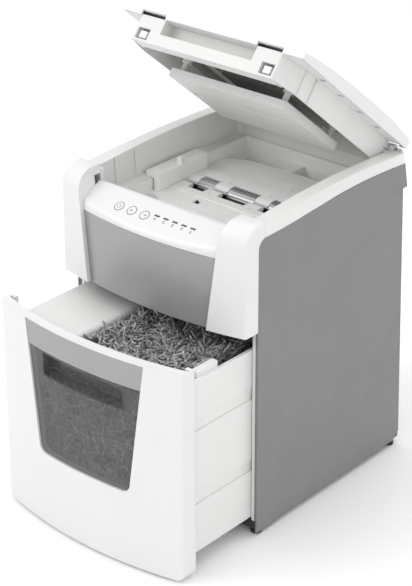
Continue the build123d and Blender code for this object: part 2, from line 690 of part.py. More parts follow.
def lid_cover():
    """White top shell of the lid, with the hand-feed slot across it."""
    outer = Pos(-LID_HALF, 0, 0) * extrude(crown_outline(0), amount=2 * LID_HALF, dir=(1, 0, 0))
    sides = outer.edges().filter_by(
        lambda edge: abs(edge.center().X) > LID_HALF - 0.1 and edge.center().Z > LID_Z + 8.6
    )
    outer = fillet(sides, 2.5)
    inner_half = LID_HALF - SKIN
    hollow = Pos(-inner_half, 0, 0) * extrude(crown_outline(SKIN), amount=2 * inner_half, dir=(1, 0, 0))
    cover = outer - hollow
    cover -= block(-150, 150, HINGE_Y - 9, LID_REAR_Y + 1, LID_Z - 2, LID_Z + 3.5)
    for side in (-1, 1):
        x0, x1 = sorted((side * FINGER_HALF, side * STEP_HALF))
        cover -= block(x0, x1, LID_FRONT_Y - 1, LID_FRONT_Y + 3.2, LID_Z - 2, LID_Z + 7.5)
    cover -= block(-FINGER_HALF, FINGER_HALF, LID_FRONT_Y - 1, LID_FRONT_Y + 3.2, LID_Z - 2, LID_Z + 1.5)
    cover -= block(-112, 112, SLOT_Y - 1.75, SLOT_Y + 1.75, LID_Z + 5, LID_Z + 30)
    return cover


FRAME_FRONT_Y = 26.5
FRAME_BACK_Y = 321.0


def frame_outline(inset):
    """Plan of the lid frame: square rear, front corners cut back."""
    half = LID_FRAME_HALF - inset
    nose = STEP_HALF - inset * 0.6
    front = FRAME_FRONT_Y + inset
    back = FRAME_BACK_Y - inset
    points = [(-half, back), (half, back), (half, front + 44), (nose, front), (-nose, front), (-half, front + 44)]
    return make_face(Polyline(*[(x, y, 0) for x, y in points], close=True))


LATCH_X = 112.0


def lid_frame():
    """Deep frame that drops into the tray: front face with finger recess, side walls, hinge ears."""
    low = LID_Z - LID_DROP
    high = LID_Z - 0.6
    frame = Pos(0, 0, low) * extrude(frame_outline(0), amount=high - low, dir=(0, 0, 1))
    frame -= Pos(0, 0, low - 1) * extrude(frame_outline(2.6), amount=high - low - 2, dir=(0, 0, 1))
    flange = block(-LID_HALF + SKIN + 0.4, LID_HALF - SKIN - 0.4, LID_FRONT_Y + 3.6, 327, high, high + 2.4)
    flange -= block(-110, 110, SLOT_Y - 30, SLOT_Y + 30, high - 5, high + 5)
    frame += flange
    front_bar = block(-126, 126, FRAME_FRONT_Y + 0.2, FRAME_FRONT_Y + 30, low, high)
    front_bar -= block(-123, 123, FRAME_FRONT_Y + 24.8, FRAME_FRONT_Y + 31, low - 1, high - 3)
    frame += front_bar & Pos(0, 0, low) * extrude(frame_outline(0.2), amount=high - low, dir=(0, 0, 1))
    frame -= block(-FINGER_HALF, FINGER_HALF, LID_FRONT_Y - 5, FRAME_FRONT_Y + 22, LID_Z - 20, LID_Z + 1)
    for side in (-1, 1):
        x0, x1 = sorted((side * (LATCH_X - 11), side * (LATCH_X + 11)))
        frame -= block(x0, x1, FRAME_FRONT_Y - 1, FRAME_FRONT_Y + 21, LID_Z - 33.5, LID_Z - 17)
        for y in (FRAME_FRONT_Y + 46, FRAME_FRONT_Y + 76):
            x2, x3 = sorted((side * (LID_FRAME_HALF - 1), side * (LID_FRAME_HALF + 2.4)))
            frame += block(x2, x3, y, y + 2.2, low + 1, high)
        for y in (96, 148, 206, 262):
            x4, x5 = sorted((side * 146, side * 156))
            frame -= block(x4, x5, y, y + 7, high - 1, high + 3)
        for y in (HINGE_Y - 221, HINGE_Y - 92):
            frame += post(side * 93, y, LID_Z - 26, high - 1, 7.5)
            frame -= post(side * 93, y, LID_Z - 27, high - 4, 4.6)
        ear_x0, ear_x1 = sorted((side * 132, side * 138))
        ear = rod(ear_x0, ear_x1, HINGE_Y, HINGE_Z, 6)
        ear += block(ear_x0, ear_x1, FRAME_BACK_Y - 2, HINGE_Y, HINGE_Z - 6, LID_Z - 0.6)
        frame += ear
    return frame - rod(-140, 140, HINGE_Y, HINGE_Z, 3.05)


def lid_liner():
    """Dark ribbed plate inside the lid."""
    z1 = LID_Z - 4
    liner = block(-130, 130, FRAME_FRONT_Y + 31, FRAME_BACK_Y - 3.4, z1 - 1.8, z1)
    for x in range(-126, 127, 14):
        if abs(abs(x) - 93) > 9:
            liner += block(x - 0.8, x + 0.8, FRAME_FRONT_Y + 32, FRAME_BACK_Y - 4, z1 - 9, z1 - 1.8)
    for x in (-93, 93):
        for y in (HINGE_Y - 221, HINGE_Y - 92):
            liner -= post(x, y, z1 - 12, z1 + 1, 8)
    return liner - block(-112, 112, SLOT_Y - 2.2, SLOT_Y + 2.2, z1 - 12, z1 + 2)


PLATE_FRONT_Y = HINGE_Y - 232.5
PLATE_BACK_Y = HINGE_Y - 80.0


def pressure_plate():
    """Sprung plate that presses the stack on to the rollers, with four guide posts."""
    top = LID_Z - 40
    low = LID_Z - 53
    plate = block(-105, 105, PLATE_FRONT_Y, PLATE_BACK_Y, low, top)
    plate -= block(-102.6, 102.6, PLATE_FRONT_Y + 2.4, PLATE_BACK_Y - 2.4, low + 2.6, top + 1)
    plate += block(-102.6, 102.6, SLOT_Y - 6, SLOT_Y + 6, low + 2.6, top - 2)
    plate -= block(-98, 98, SLOT_Y - 1.9, SLOT_Y + 1.9, low - 1, top + 1)
    plate -= block(-99, 99, SLOT_Y - 4.5, SLOT_Y + 4.5, low - 1, low + 1.2)
    for x in (-93, 93):
        for y in (HINGE_Y - 221, HINGE_Y - 92):
            plate += post(x, y, low + 2, LID_Z - 24, 4.5)
    return plate


def plate_springs():
    """Coil springs in the sleeves above the guide posts, drawn at their pressed length."""
    coils = []
    for x in (-93, 93):
        for y in (HINGE_Y - 221, HINGE_Y - 92):
            coils.append(post(x, y, LID_Z - 8.2, LID_Z - 4.8, 4.2) - post(x, y, LID_Z - 9, LID_Z - 4, 2.6))
    return Compound(coils)


def latch(side):
    x0, x1 = sorted((side * (LATCH_X - 6.5), side * (LATCH_X + 6.5)))
    body = block(x0, x1, FRAME_FRONT_Y + 1.5, FRAME_FRONT_Y + 15, LID_Z - 31.5, LID_Z - 20.5)
    return fillet(body.edges().group_by(Axis.Y)[0], 1.2)


def hinge_pins():
    pin = rod(132.2, 148, HINGE_Y, HINGE_Z, 3.0)
    return Compound([pin, mirrored(pin)])


# ---- drawer, drawn closed --------------------------------------------------
def drawer_opening(grow, z0, z1):
    """Tapered opening in the drawer front, rounded at its lower corners."""
    half0 = taper_half(z0) + grow
    half1 = taper_half(z1) + grow
    outline = [(-half0, z0), (half0, z0), (half1, z1), (-half1, z1)]
    face = make_face(Polyline(*[(x, -200, z) for x, z in outline], close=True))
    return extrude(face, amount=300, dir=(0, 1, 0))


def window_opening(grow):
    opening = drawer_opening(grow, WINDOW_Z0 - grow, BAND_Z1 + grow)
    corners = opening.edges().filter_by(Axis.Y).group_by(Axis.Z)[0]
    return fillet(corners, 14)


def drawer_front():
    """White drawer front with side returns, open in the middle for the band and the window."""
    front = bowed_slab(HALF, HALF, 0, 0, DRAWER_Z0, DRAWER_Z1, back=-6.0)
    upright = front.edges().filter_by(
        lambda edge: abs(edge.center().X) > HALF - 0.5 and edge.center().Y < -20 and edge.length > 100
    )
    front = fillet(upright, 4)
    outline = block(-HALF, HALF, -100, 5, DRAWER_Z0, DRAWER_Z1)
    front &= fillet(outline.edges().filter_by(Axis.Y).group_by(Axis.Z)[0], 12)
    hollow = bowed_slab(HALF - 4, HALF - 4, DRAWER_WALL, 0, DRAWER_Z0 + 4, DRAWER_Z1 + 5, back=5)
    front -= hollow
    hook = block(160.6, HALF - 3, -12, -6, 290, DRAWER_Z1)
    front += both_sides(hook)
    return front - window_opening(0)


def drawer_band():
    """Silver-grey band across the top of the window, continuing the fascia above."""
    band = bowed_slab(HALF, HALF, 0.6, 3.0, BAND_Z0 + GAP / 2, BAND_Z1 - GAP / 2)
    band = band & drawer_opening(-GAP, BAND_Z0, BAND_Z1)
    return band


POCKET_HALF = 78.0
POCKET_Z0 = 246.0
POCKET_Z1 = 284.0
POCKET_DEPTH = 22.0


def drawer_window():
    """Smoked window with a hole for the finger pocket."""
    pane = bowed_slab(HALF, HALF, 3.0, 2.5, WINDOW_Z0, BAND_Z0 - GAP / 2)
    pane = pane & window_opening(-GAP)
    hole = block(-POCKET_HALF, POCKET_HALF, -90, 0, POCKET_Z0, POCKET_Z1)
    return pane - hole


def finger_pocket():
    """Clear cup behind the window for the fingers that pull the drawer."""
    cup = block(-POCKET_HALF + GAP, POCKET_HALF - GAP, -52, -22, POCKET_Z0 + GAP, POCKET_Z1 - GAP)
    cup = cup & bowed_slab(HALF, HALF, 3.0, 28, POCKET_Z0 - 10, POCKET_Z1 + 10)
    wall = 2.0
    hollow = block(-POCKET_HALF + wall, POCKET_HALF - wall, -60, -26, POCKET_Z0 + wall, POCKET_Z1 - wall)
    return cup - hollow


BIN_HALF = 160.0
BIN_FRONT_Y = -15.0
BIN_BACK_Y = 318.0
BIN_Z0 = 28.0
BIN_Z1 = 300.0


def bin_tub():
    """Waste bin with two recessed bands along its sides and a raised lip at the front right."""
    tub = rounded_bar(-BIN_HALF, BIN_HALF, BIN_FRONT_Y, BIN_BACK_Y, BIN_Z0, BIN_Z1, 6)
    tub -= rounded_bar(-BIN_HALF + 5, BIN_HALF - 5, BIN_FRONT_Y + 3, BIN_BACK_Y - 3, BIN_Z0 + 3, BIN_Z1 + 5, 4)
    for z0, z1 in ((106, 124), (222, 240)):
        tub -= both_sides(block(BIN_HALF - 2, BIN_HALF + 2, BIN_FRONT_Y + 14, BIN_BACK_Y - 14, z0, z1))
    lip = rounded_bar(143, 155, BIN_FRONT_Y + 33, BIN_FRONT_Y + 78, BIN_Z1 - 30, BIN_Z1 + 8, 4)
    tub += lip & block(100, BIN_HALF - 4.9, -60, 100, 0, 400)
    for y in (120, 200):
        tub += both_sides(block(118.5, 123.5, y, y + 60, 25.4, BIN_Z0))
    tub -= block(-108, 108, BIN_FRONT_Y - 1, BIN_FRONT_Y + 4, 118, 306)
    return tub


def bin_shelf():
    """Flat cover over the left third of the bin, with a rounded inner edge."""
    shelf = block(-153.5, -52, BIN_FRONT_Y + 4.5, 250, BIN_Z1 - 1, BIN_Z1 + 3)
    edge = block(-58, -44, BIN_FRONT_Y + 4.5, 250, BIN_Z1 - 26, BIN_Z1 + 3)
    edge = fillet(edge.edges().filter_by(Axis.Y).group_by(Axis.Z)[-1].sort_by(Axis.X)[-1:], 7)
    return shelf + edge


def bin_peg():
    """Dark lift peg at the front of the bin shelf."""
    return Pos(-16, BIN_FRONT_Y + 8, BIN_Z1 + 5) * Rot(90, 0, 0) * Cylinder(4.5, 20)


def shredded_paper():
    """Heap of shreds in the bin, as one soft block with a sloping top."""
    top = [(BIN_FRONT_Y + 5, 34), (300, 34), (300, 262), (150, 268), (40, 284), (BIN_FRONT_Y + 5, 280)]
    heap = side_prism(top, -43.0, 142.0)
    low = side_prism([(BIN_FRONT_Y + 5, 34), (300, 34), (300, 262), (BIN_FRONT_Y + 5, 262)], -152, -43)
    return heap + low


def screws():
    """Cover screws in the rear panel and under the base."""
    heads = []
    for x in (-155, 155):
        for z in (30, 240, 446):
            heads.append(Pos(x, 348.6, z) * Rot(90, 0, 0) * Cylinder(3.5, 1.2))
    return Compound(heads)


# ---- assembly --------------------------------------------------------------
def build_casing():
    parts["right_side_panel"] = side_panel()
    parts["left_side_panel"] = mirrored(side_panel())
    parts["base_pan"] = base_pan()
    parts["feet"] = feet()
    parts["right_side_frame"] = side_frame()
    parts["left_side_frame"] = mirrored(side_frame())
    parts["rear_cover"] = rear_cover()
    parts["cover_screws"] = screws()
    parts["top_housing"] = top_housing()
    parts["right_wing"] = wing()
    parts["left_wing"] = mirrored(wing())
    parts["front_panel"] = front_panel()
    parts["control_panel"] = control_panel()
    parts["control_board"] = control_board()
    parts["indicator_lights"] = indicator_lights()
    for name, x in BUTTON_XS.items():
        parts[name] = button(x)


def build_tray():
    parts["feed_plate"] = feed_plate()
    parts["guide_block"] = guide_block()
    parts["paper_flag"] = paper_flag()


def build_cutting_unit():
    up = pi / 2
    front_phase = 0.0
    rear_phase = mating_phase(front_phase, CUTTER_TEETH, 0.0, CUTTER_TEETH)
    parts["cutter_plates"] = cutter_plates()
    parts["tie_rods"] = tie_rods()
    parts["crossbeams"] = crossbeams()
    parts["stripper_combs"] = stripper_combs()
    parts["front_cutter"] = cutter(FRONT_SHAFT_Y, -1.25)
    parts["rear_cutter"] = cutter(REAR_SHAFT_Y, DISC_PITCH / 2 - 1.25)
    for name, y, phase in (("front", FRONT_SHAFT_Y, front_phase), ("rear", REAR_SHAFT_Y, rear_phase)):
        idler_phase = mating_phase(phase, CUTTER_TEETH, up, IDLER_TEETH)
        feed_phase = mating_phase(idler_phase, IDLER_TEETH, up, FEED_TEETH)
        parts[name + "_cutter_gear"] = gear(CUTTER_TEETH, y, CUT_Z, GEAR_X0, GEAR_X1, phase, 6.0)
        idler = gear(IDLER_TEETH, y, IDLER_Z, GEAR_X0, GEAR_X1, idler_phase, 3.05)
        parts[name + "_idler_gear"] = idler
        parts[name + "_feed_gear"] = gear(FEED_TEETH, y, FEED_Z, GEAR_X0, GEAR_X1, feed_phase, 4.0)
        parts[name + "_feed_shaft"] = feed_shaft(y)
        parts[name + "_feed_rollers"] = feed_rollers(y, FRONT_ROLLER_R if name == "front" else REAR_ROLLER_R)
    small_phase = mating_phase(rear_phase, CUTTER_TEETH, 0.0, FEED_TEETH)
    parts["reduction_gear"] = reduction_gear(small_phase, 0.0)
    parts["motor_pinion"] = motor_pinion(mating_phase(0.0, REDUCTION_TEETH, 0.0, PINION_TEETH))
    parts["motor"] = motor()
    parts["gearbox_cover"] = gearbox_cover()
    parts["power_board"] = power_board()
    parts["inlet_socket"] = inlet_socket()
    parts["rocker_switch"] = rocker_switch()


def build_lid():
    parts["hinge_pins"] = hinge_pins()
    lid = {
        "lid_cover": lid_cover(),
        "lid_frame": lid_frame(),
        "lid_liner": lid_liner(),
        "pressure_plate": pressure_plate(),
        "plate_springs": plate_springs(),
        "left_latch": latch(-1),
        "right_latch": latch(1),
    }
    for name, shape in lid.items():
        parts[name] = lid_pose(shape)


def build_drawer():
    drawer = {
        "drawer_front": drawer_front(),
        "drawer_band": drawer_band(),
        "drawer_window": drawer_window(),
        "finger_pocket": finger_pocket(),
        "bin_tub": bin_tub(),
        "bin_shelf": bin_shelf(),
        "bin_peg": bin_peg(),
        "shredded_paper": shredded_paper(),
    }
    for name, shape in drawer.items():
        parts[name] = drawer_pose(shape)


def main():
    build_casing()
    build_tray()
    build_cutting_unit()
    build_lid()
    build_drawer()
    os.makedirs("parts", exist_ok=True)
    low_y = min(shape.bounding_box().min.Y for shape in parts.values())
    high_y = max(shape.bounding_box().max.Y for shape in parts.values())
    print("middle of the depth", round((low_y + high_y) / 2, 3))
    for name, shape in parts.items():
        export_step(Pos(0, -ORIGIN_Y, 0) * shape, "parts/" + name + ".step")


main()
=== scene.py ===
import math
import random

import bmesh
import bpy
from mathutils import Matrix, Vector


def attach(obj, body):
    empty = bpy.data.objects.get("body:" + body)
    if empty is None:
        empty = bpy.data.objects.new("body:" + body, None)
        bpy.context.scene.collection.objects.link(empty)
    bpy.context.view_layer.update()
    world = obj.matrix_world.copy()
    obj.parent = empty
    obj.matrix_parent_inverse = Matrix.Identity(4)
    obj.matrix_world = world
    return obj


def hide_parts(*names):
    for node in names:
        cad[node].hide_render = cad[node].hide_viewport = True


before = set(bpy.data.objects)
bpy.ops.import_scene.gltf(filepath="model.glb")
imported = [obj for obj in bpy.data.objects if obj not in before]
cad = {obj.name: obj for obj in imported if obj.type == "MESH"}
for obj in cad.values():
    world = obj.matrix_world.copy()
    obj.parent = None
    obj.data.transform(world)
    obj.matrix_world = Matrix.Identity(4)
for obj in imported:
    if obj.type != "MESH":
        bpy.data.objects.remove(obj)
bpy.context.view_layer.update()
middleY = 86.545    # mm from the side panel's front edge to the middle of the depth


def place(x, y, z):    # millimetres from the middle, the side panel's front edge and the floor
    return Vector((x, y - middleY, z)) / 1000


def greyTone(value, warm=0.0):    # a screen grey from 0 to 255 as a linear colour, warmer above 0
    tones = []
    for shift in (warm, 0.3 * warm, -warm):
        level = min(max((value + shift) / 255, 0), 1)
        tones.append(level / 12.92 if level <= 0.04045 else ((level + 0.055) / 1.055) ** 2.4)
    return (*tones, 1)


def startMaterial(name):
    material = bpy.data.materials.new(name)
    material.use_nodes = True
    tree = material.node_tree
    tree.nodes.clear()
    output = tree.nodes.new("ShaderNodeOutputMaterial")
    shader = tree.nodes.new("ShaderNodeBsdfPrincipled")
    tree.links.new(shader.outputs["BSDF"], output.inputs["Surface"])
    coords = tree.nodes.new("ShaderNodeTexCoord").outputs["Object"]
    return material, tree, shader, coords


def noiseOf(tree, coords, scale, detail=3, stretch=None):
    noise = tree.nodes.new("ShaderNodeTexNoise")
    noise.inputs["Scale"].default_value = scale
    noise.inputs["Detail"].default_value = detail
    source = coords
    if stretch:
        mapping = tree.nodes.new("ShaderNodeMapping")
        mapping.inputs["Scale"].default_value = stretch
        tree.links.new(coords, mapping.inputs["Vector"])
        source = mapping.outputs["Vector"]
    tree.links.new(source, noise.inputs["Vector"])
    return noise.outputs["Fac"]


def rampOf(tree, value, low, high, fromPos=0.3, toPos=0.7):
    ramp = tree.nodes.new("ShaderNodeValToRGB")
    ramp.color_ramp.elements[0].position = fromPos
    ramp.color_ramp.elements[1].position = toPos
    ramp.color_ramp.elements[0].color = low
    ramp.color_ramp.elements[1].color = high
    tree.links.new(value, ramp.inputs["Fac"])
    return ramp.outputs["Color"]


def rangeOf(tree, value, low, high):
    spread = tree.nodes.new("ShaderNodeMapRange")
    spread.inputs["From Min"].default_value = 0.3
    spread.inputs["From Max"].default_value = 0.7
    spread.inputs["To Min"].default_value = low
    spread.inputs["To Max"].default_value = high
    tree.links.new(value, spread.inputs["Value"])
    return spread.outputs["Result"]


def bumpOf(tree, height, shader, strength, distance, edge=0.0):
    bump = tree.nodes.new("ShaderNodeBump")
    bump.inputs["Strength"].default_value = strength
    bump.inputs["Distance"].default_value = distance
    tree.links.new(height, bump.inputs["Height"])
    if edge:
        soft = tree.nodes.new("ShaderNodeBevel")
        soft.samples = 4
        soft.inputs["Radius"].default_value = edge
        tree.links.new(soft.outputs["Normal"], bump.inputs["Normal"])
    tree.links.new(bump.outputs["Normal"], shader.inputs["Normal"])


def mouldedPlastic(look):
    material, tree, shader, coords = startMaterial(look["name"])
    patches = noiseOf(tree, coords, look.get("patchScale", 14), 4)
    low = greyTone(look["tone"] - look.get("spread", 2), look.get("warm", 0))
    high = greyTone(look["tone"] + look.get("spread", 2), look.get("warm", 0))
    tree.links.new(rampOf(tree, patches, low, high), shader.inputs["Base Color"])
    rough = rangeOf(tree, noiseOf(tree, coords, 60, 5), look["rough"] - 0.04, look["rough"] + 0.04)
    tree.links.new(rough, shader.inputs["Roughness"])
    grain = noiseOf(tree, coords, look.get("grainScale", 900), 2)
    bumpOf(tree, grain, shader, look.get("grain", 0.12), 0.00012, look.get("edge", 0.0006))
    shader.inputs["Specular IOR Level"].default_value = look.get("specular", 0.5)
    shader.inputs["Metallic"].default_value = look.get("metallic", 0)
    if look.get("coat"):
        shader.inputs["Coat Weight"].default_value = look["coat"]
        shader.inputs["Coat Roughness"].default_value = 0.2
    return material


def workedMetal(look):
    material, tree, shader, coords = startMaterial(look["name"])
    lines = noiseOf(tree, coords, look.get("lineScale", 220), 4, look.get("stretch", (1, 12, 12)))
    spread, sway = look.get("spread", 14), look.get("sway", 0.07)
    low, high = greyTone(look["tone"] - spread), greyTone(look["tone"] + spread)
    tree.links.new(rampOf(tree, lines, low, high), shader.inputs["Base Color"])
    rough = rangeOf(tree, lines, look["rough"] - sway, look["rough"] + sway)
    tree.links.new(rough, shader.inputs["Roughness"])
    bumpOf(tree, lines, shader, look.get("grain", 0.15), 0.00008, look.get("edge", 0.0003))
    shader.inputs["Metallic"].default_value = 1
    return material


def clearPlastic(look):
    material, tree, shader, coords = startMaterial(look["name"])
    film = noiseOf(tree, coords, 40, 3)
    tree.links.new(rampOf(tree, film, look["low"], look["high"]), shader.inputs["Base Color"])
    tree.links.new(rangeOf(tree, noiseOf(tree, coords, 160, 4), 0.05, 0.12), shader.inputs["Roughness"])
    shader.inputs["Alpha"].default_value = look["alpha"]
    shader.inputs["Specular IOR Level"].default_value = look["gloss"]
    bumpOf(tree, film, shader, 0.05, 0.0002)
    return material


def circuitBoard(look):
    material, tree, shader, coords = startMaterial(look["name"])
    bricks = tree.nodes.new("ShaderNodeTexBrick")
    bricks.inputs["Scale"].default_value = look["scale"]
    bricks.inputs["Mortar Size"].default_value = 0.03
    bricks.inputs["Color1"].default_value = look["mask"]
    bricks.inputs["Color2"].default_value = look["track"]
    bricks.inputs["Mortar"].default_value = look["copper"]
    tree.links.new(coords, bricks.inputs["Vector"])
    tree.links.new(bricks.outputs["Color"], shader.inputs["Base Color"])
    shader.inputs["Roughness"].default_value = 0.38
    bumpOf(tree, bricks.outputs["Fac"], shader, 0.3, 0.0001)
    return material


def paperStock(look):
    material, tree, shader, coords = startMaterial(look["name"])
    inkPatches = noiseOf(tree, coords, look["inkScale"], 4)
    stock = rampOf(tree, inkPatches, look["dark"], look["light"], 0.38, 0.62)
    tree.links.new(stock, shader.inputs["Base Color"])
    shader.inputs["Roughness"].default_value = 0.85
    shader.inputs["Specular IOR Level"].default_value = 0.2
    bumpOf(tree, noiseOf(tree, coords, 700, 3), shader, 0.3, 0.0001)
    return material


looks = {
    "white": {"name": "whiteAbs", "tone": 226, "rough": 0.36, "spread": 1, "grain": 0.06, "edge": 0.0009},
    "light": {"name": "lightAbs", "tone": 225, "rough": 0.5, "spread": 2, "warm": 1, "grain": 0.16},
    "lidInside": {"name": "lidInnerAbs", "tone": 219, "rough": 0.48, "spread": 2, "warm": 1, "grain": 0.14},
    # tray: the interior plastic made lighter for the feed plate and guide block, painted light against the
    # lid's shade
    "tray": {"name": "trayAbsPaintedLight", "tone": 240, "rough": 0.46, "spread": 2, "warm": 1, "grain": 0.14},
    "panel": {"name": "greySideAbs", "tone": 126, "rough": 0.46, "spread": 2, "grain": 0.2, "edge": 0.0006},
    "silver": {"name": "silverAbs", "tone": 160, "rough": 0.34, "spread": 2, "grain": 0.1, "metallic": 0.35,
               "grainScale": 1400},
    "dark": {"name": "blackAbs", "tone": 52, "rough": 0.45, "spread": 4, "grain": 0.2},
    "liner": {"name": "linerAbs", "tone": 176, "rough": 0.5, "spread": 4, "warm": 2, "grain": 0.2},
    "rubber": {"name": "footRubber", "tone": 48, "rough": 0.8, "spread": 5, "grain": 0.4, "grainScale": 500},
    "acetal": {"name": "naturalAcetal", "tone": 226, "rough": 0.38, "spread": 2, "warm": 4, "grain": 0.08},
    "lightBar": {"name": "lightBarLens", "tone": 78, "rough": 0.25, "spread": 3, "grain": 0.05, "coat": 0.3},
    "ink": {"name": "printedInk", "tone": 74, "rough": 0.6, "spread": 3, "grain": 0.1, "edge": 0},
    "steel": {"name": "groundSteel", "tone": 178, "rough": 0.3},
    "roller": {"name": "rollerSteel", "tone": 170, "rough": 0.38, "lineScale": 400, "spread": 3, "sway": 0.02,
               "grain": 0.04},
    "plated": {"name": "zincSheet", "tone": 190, "rough": 0.42, "stretch": (3, 3, 3), "lineScale": 60},
    "can": {"name": "motorCan", "tone": 150, "rough": 0.36, "stretch": (8, 1, 8)},
    "spring": {"name": "springWire", "tone": 150, "rough": 0.3},
    "window": {"name": "smokedClear", "low": greyTone(104), "high": greyTone(112), "alpha": 0.4,
               "gloss": 0.5},
    "pocket": {"name": "pocketClear", "low": greyTone(92), "high": greyTone(100), "alpha": 0.55,
               "gloss": 0.8},
    "board": {"name": "solderMask", "scale": 90, "mask": (0.02, 0.13, 0.05, 1), "track": (0.03, 0.2, 0.08, 1),
              "copper": (0.45, 0.3, 0.12, 1)},
    "paper": {"name": "printedPaper", "inkScale": 210, "dark": greyTone(136), "light": greyTone(190)},
    "paperPale": {"name": "blankPaper", "inkScale": 120, "dark": greyTone(160), "light": greyTone(206)},
    # darker paper: random darker tone on some loose strips, and painted shade on the mound under them
    "paperDeep": {"name": "darkPaperAndPaintedShade", "inkScale": 160, "dark": greyTone(104), "light": greyTone(134)},
}
metals = ("steel", "roller", "plated", "can", "spring")
makers = {"window": clearPlastic, "pocket": clearPlastic, "board": circuitBoard, "paper": paperStock,
          "paperPale": paperStock, "paperDeep": paperStock}
finishes = {}
for key, look in looks.items():
    maker = makers.get(key, workedMetal if key in metals else mouldedPlastic)
    finishes[key] = maker(look)
print("materials ready:", len(finishes))

finishOfNode = {
    "white": ["control_panel", "drawer_front", "forward_button", "left_wing", "lid_cover", "power_button",
              "reverse_button", "right_wing", "left_latch", "right_latch"],
    "light": ["bin_shelf", "bin_tub", "left_side_frame", "right_side_frame", "top_housing"],
    # feed plate and guide block take the lighter tray copy, painted light against the lid's shade
    "tray": ["feed_plate", "guide_block"],
    "lidInside": ["lid_frame", "pressure_plate"],
    "panel": ["left_side_panel", "rear_cover", "right_side_panel"],
    "silver": ["drawer_band", "front_panel"],
    "dark": ["base_pan", "bin_peg", "gearbox_cover", "inlet_socket", "paper_flag", "rocker_switch",
             "stripper_combs"],
    "liner": ["lid_liner"],
    "rubber": ["feet"],
    "acetal": ["front_feed_gear", "front_idler_gear", "rear_feed_gear", "rear_idler_gear", "reduction_gear"],
    "lightBar": ["indicator_lights"],
    "steel": ["cover_screws", "front_cutter", "front_cutter_gear", "front_feed_shaft", "hinge_pins",
              "motor_pinion", "rear_cutter", "rear_cutter_gear", "rear_feed_shaft", "tie_rods"],
    "roller": ["front_feed_rollers", "rear_feed_rollers"],
    "plated": ["crossbeams", "cutter_plates"],
    "can": ["motor"],
    "spring": ["plate_springs"],
    "window": ["drawer_window"],
    "pocket": ["finger_pocket"],
    "board": ["control_board", "power_board"],
    "paper": ["shredded_paper"],
}
for key, names in finishOfNode.items():
    for name in names:
        cad[name].data.materials.clear()
        cad[name].data.materials.append(finishes[key])
print("nodes finished:", sum(len(names) for names in finishOfNode.values()))


def addPiece(name, shape, finish, body, smooth=False):
    bmesh.ops.remove_doubles(shape, verts=shape.verts, dist=1e-7)
    bmesh.ops.recalc_face_normals(shape, faces=shape.faces)
    mesh = bpy.data.meshes.new(name)
    shape.to_mesh(mesh)
    shape.free()
    piece = bpy.data.objects.new(name, mesh)
    bpy.context.scene.collection.objects.link(piece)
    for one in ([finish] if isinstance(finish, str) else finish):
        mesh.materials.append(finishes[one])
    if smooth:
        mesh.shade_smooth()
    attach(piece, body)
    return piece


# shredded paper: a closed mound with loose cross-cut shreds lying over it and against the window
shreds = {
    "count": 2500, "windowCount": 620, "edgeCount": 60, "templates": 28, "seed": 11,
    "width": (2.6, 3.7), "length": (20, 42), "thick": 0.35,
    "left": -43, "right": 130, "front": -128, "back": 140, "height": 288,
    "wallGap": 16,    # strips nearer than this to a side wall lie along it
    "window": {"x": (-98, 98), "y": (-148, -138), "z": (116, 286)},
    "pocket": {"halfWidth": 88, "bottom": 232, "depth": 10},
}
mound = {"left": -47, "right": 152, "front": -132, "back": 174, "sink": 5, "floor": 36}


def moundHeight(x, y):    # millimetres, drawer standing open
    hills = 5 * math.sin(x * 0.041 + 0.8) * math.cos(y * 0.033) + 3 * math.sin(x * 0.09 + y * 0.07)
    fall = 0.055 * max(0, y + 20)
    return shreds["height"] + hills - fall


def shredTemplate(rand):    # one strip, bent and twisted, 1 unit long
    strip = bmesh.new()
    bmesh.ops.create_cube(strip, size=1)
    along = [edge for edge in strip.edges if abs((edge.verts[0].co - edge.verts[1].co).x) > 0.5]
    bmesh.ops.subdivide_edges(strip, edges=along, cuts=5, use_grid_fill=True)
    curl, twist, wave = rand.uniform(-1.9, 1.9), rand.uniform(-2.4, 2.4), rand.uniform(-0.06, 0.06)
    length, width = rand.uniform(*shreds["length"]), rand.uniform(*shreds["width"])
    for vert in strip.verts:
        x, y, z = vert.co
        turn = Matrix.Rotation(twist * x, 3, "X") @ Vector((0, y * width, z * shreds["thick"]))
        angle = curl * x
        middle = Vector((x * length, 0, 0))
        if abs(curl) > 0.05:
            reach = length / curl
            middle = Vector((math.sin(angle) * reach, 0, (1 - math.cos(angle)) * reach))
        side = wave * length * math.sin(4 * x)
        lean = Matrix.Rotation(-angle, 3, "Y")
        vert.co = (middle + lean @ turn + Vector((0, side, 0))) / 1000
    mesh = bpy.data.meshes.new("shredTemplate")
    strip.to_mesh(mesh)
    strip.free()
    return mesh


def layStrip(pile, template, move, shade):
    firstVert, firstFace = len(pile.verts), len(pile.faces)
    pile.from_mesh(template)
    pile.verts.ensure_lookup_table()
    pile.faces.ensure_lookup_table()
    bmesh.ops.transform(pile, matrix=move, verts=pile.verts[firstVert:])
    for face in pile.faces[firstFace:]:
        face.material_index = shade


def scatterShreds(rand, templates, spots, pile):
    for spot, direction, tilt, shade in spots:
        template = rand.choice(templates)
        move = Matrix.Translation(spot) @ Matrix.Rotation(direction, 4, "Z") @ Matrix.Rotation(tilt, 4, "Y")
        layStrip(pile, template, move @ Matrix.Rotation(rand.uniform(-0.5, 0.5), 4, "X"), shade)


